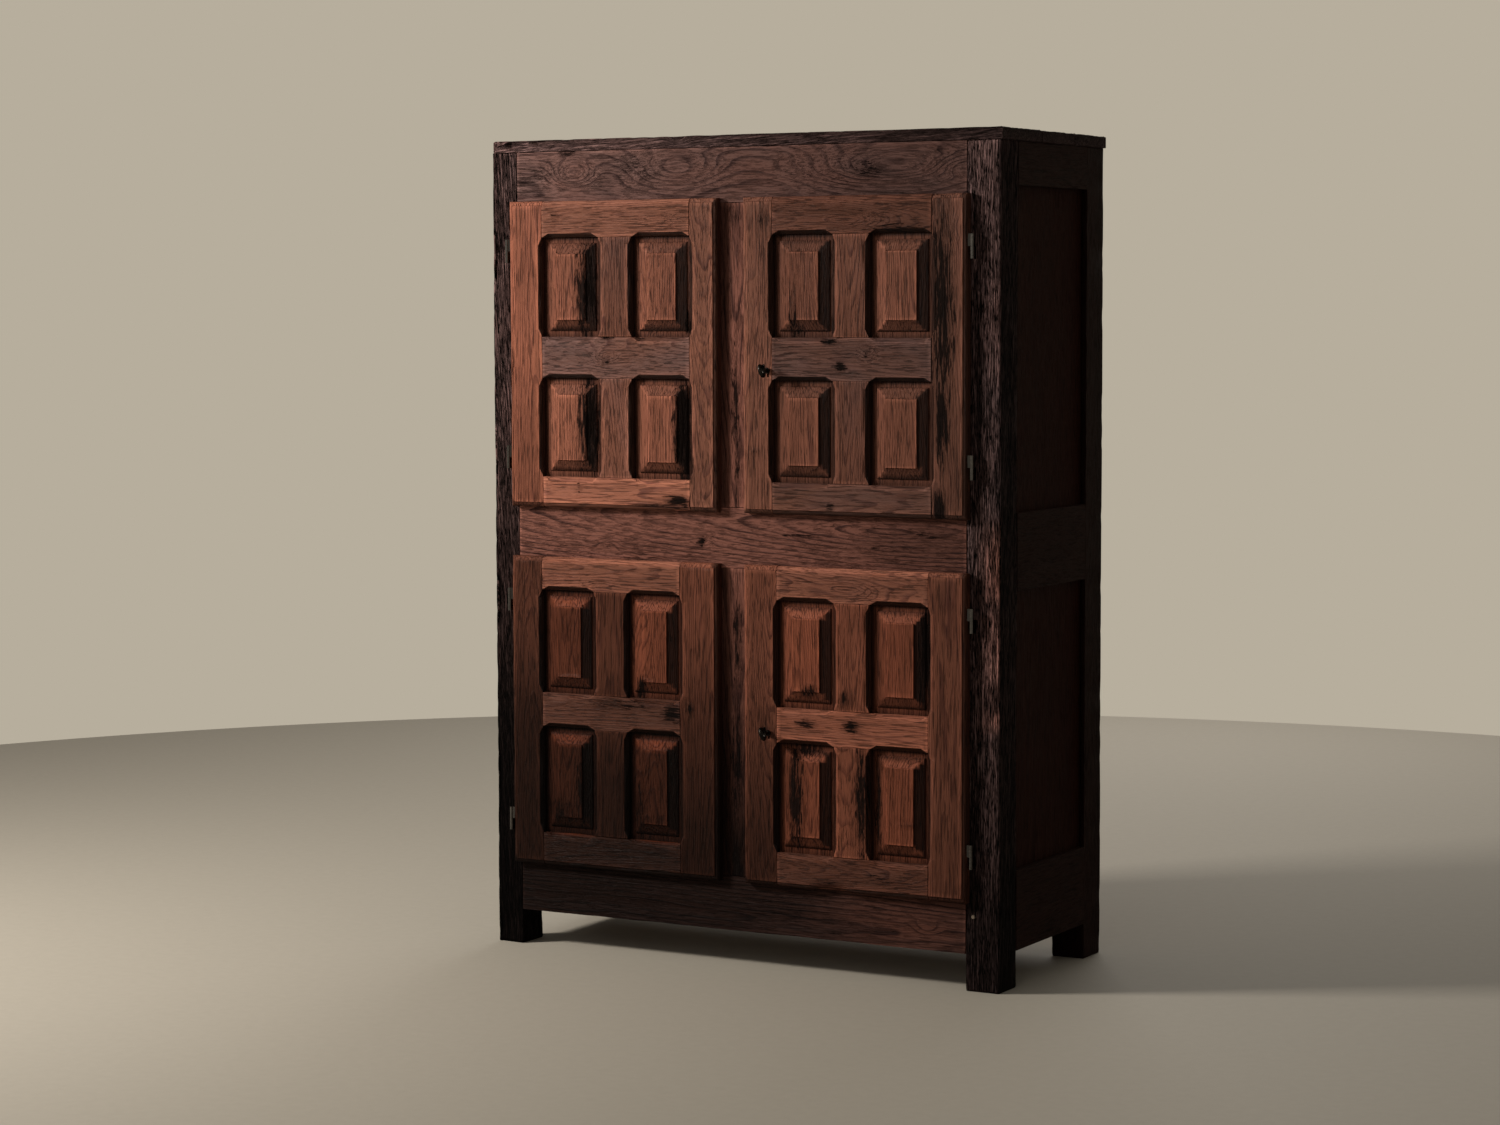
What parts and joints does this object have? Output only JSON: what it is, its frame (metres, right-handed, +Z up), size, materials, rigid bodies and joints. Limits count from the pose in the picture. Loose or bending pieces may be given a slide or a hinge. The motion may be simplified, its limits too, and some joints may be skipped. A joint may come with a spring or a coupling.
{
  "type": "trastero cabinet",
  "caption": "Tall free-standing cupboard of weathered posts and rails with upper and lower pairs of hinged framed doors, raised panels, keyed locks, slide bolts and shelves inside.",
  "frame": {"origin": "middle of the whole object's footprint, on the floor", "axes": "+X to the right seen from the front, +Y to the back, +Z up"},
  "size_m": [1.328, 0.62, 1.9],
  "materials": {
    "dark_iron": "forged, dark",
    "hinge_steel": "worn bright",
    "worn_steel": "worn",
    "weathered_beam": "deeply weathered, dry",
    "grey_brown_oak": "dry, waxed",
    "door_oak": "waxed",
    "red_brown_panel": "aged, dull",
    "inner_softwood": "bare, aged"
  },
  "bodies": {
    "carcass": {"back_boards": "inner_softwood", "bottom_boards": "inner_softwood", "frame_hinge_leaves": "hinge_steel", "front_bottom_rail": "grey_brown_oak", "front_left_post": "weathered_beam", "front_middle_rail": "grey_brown_oak", "front_right_post": "weathered_beam", "front_top_rail": "grey_brown_oak", "loose_shelves": "inner_softwood", "middle_shelf": "inner_softwood", "mullions": "grey_brown_oak", "rear_posts": "weathered_beam", "rear_rails": "inner_softwood", "shelf_battens": "inner_softwood", "side_panels": "red_brown_panel", "side_rails": "grey_brown_oak", "top_boards": "weathered_beam"},
    "lower_key": {"lower_key": "dark_iron"},
    "lower_left_door": {"lower_left_bottom_rail": "door_oak", "lower_left_closing_stile": "door_oak", "lower_left_hinge_leaves": "hinge_steel", "lower_left_hinge_stile": "door_oak", "lower_left_middle_rail": "door_oak", "lower_left_muntins": "door_oak", "lower_left_panels": "door_oak", "lower_left_top_rail": "door_oak", "lower_slide_bolt_plate": "dark_iron"},
    "lower_lock_bolt": {"lower_lock_bolt": "worn_steel"},
    "lower_right_door": {"lower_lock_case": "dark_iron", "lower_right_bottom_rail": "door_oak", "lower_right_closing_stile": "door_oak", "lower_right_hinge_leaves": "hinge_steel", "lower_right_hinge_stile": "door_oak", "lower_right_middle_rail": "door_oak", "lower_right_muntins": "door_oak", "lower_right_panels": "door_oak", "lower_right_top_rail": "door_oak"},
    "lower_slide_bolt": {"lower_slide_bolt": "dark_iron"},
    "upper_key": {"upper_key": "dark_iron"},
    "upper_left_door": {"upper_left_bottom_rail": "door_oak", "upper_left_closing_stile": "door_oak", "upper_left_hinge_leaves": "hinge_steel", "upper_left_hinge_stile": "door_oak", "upper_left_middle_rail": "door_oak", "upper_left_muntins": "door_oak", "upper_left_panels": "door_oak", "upper_left_top_rail": "door_oak", "upper_slide_bolt_plate": "dark_iron"},
    "upper_lock_bolt": {"upper_lock_bolt": "worn_steel"},
    "upper_right_door": {"upper_lock_case": "dark_iron", "upper_right_bottom_rail": "door_oak", "upper_right_closing_stile": "door_oak", "upper_right_hinge_leaves": "hinge_steel", "upper_right_hinge_stile": "door_oak", "upper_right_middle_rail": "door_oak", "upper_right_muntins": "door_oak", "upper_right_panels": "door_oak", "upper_right_top_rail": "door_oak"},
    "upper_slide_bolt": {"upper_slide_bolt": "dark_iron"}
  },
  "joints": [
    {"name": "upper_left_door_swing", "type": "hinge", "parent": "carcass", "child": "upper_left_door", "pos_m": [-0.61, -0.262, 1.045], "axis": [0, 0, -1], "range_deg": [0, 170]},
    {"name": "upper_right_door_swing", "type": "hinge", "parent": "carcass", "child": "upper_right_door", "pos_m": [0.598, -0.262, 1.045], "axis": [0, 0, 1], "range_deg": [0, 170]},
    {"name": "lower_left_door_swing", "type": "hinge", "parent": "carcass", "child": "lower_left_door", "pos_m": [-0.61, -0.262, 0.198], "axis": [0, 0, -1], "range_deg": [0, 170]},
    {"name": "lower_right_door_swing", "type": "hinge", "parent": "carcass", "child": "lower_right_door", "pos_m": [0.598, -0.262, 0.198], "axis": [0, 0, 1], "range_deg": [0, 170]},
    {"name": "upper_key_turn", "type": "hinge", "parent": "upper_right_door", "child": "upper_key", "pos_m": [0.094, -0.248, 1.368], "axis": [0, -1, 0], "range_deg": [0, 180]},
    {"name": "upper_lock_bolt_slide", "type": "slide", "parent": "upper_right_door", "child": "upper_lock_bolt", "axis": [-1, 0, 0], "range_m": [0, 0.014]},
    {"name": "upper_slide_bolt_rise", "type": "slide", "parent": "upper_left_door", "child": "upper_slide_bolt", "axis": [0, 0, 1], "range_m": [0, 0.015]},
    {"name": "lower_key_turn", "type": "hinge", "parent": "lower_right_door", "child": "lower_key", "pos_m": [0.094, -0.248, 0.549], "axis": [0, -1, 0], "range_deg": [0, 180]},
    {"name": "lower_lock_bolt_slide", "type": "slide", "parent": "lower_right_door", "child": "lower_lock_bolt", "axis": [-1, 0, 0], "range_m": [0, 0.014]},
    {"name": "lower_slide_bolt_rise", "type": "slide", "parent": "lower_left_door", "child": "lower_slide_bolt", "axis": [0, 0, 1], "range_m": [0, 0.015]}
  ],
  "couplings": [
    {"joint": "upper_key_turn", "follows": "upper_lock_bolt_slide", "rad_per_m": 224.4},
    {"joint": "lower_key_turn", "follows": "lower_lock_bolt_slide", "rad_per_m": 224.4}
  ]
}
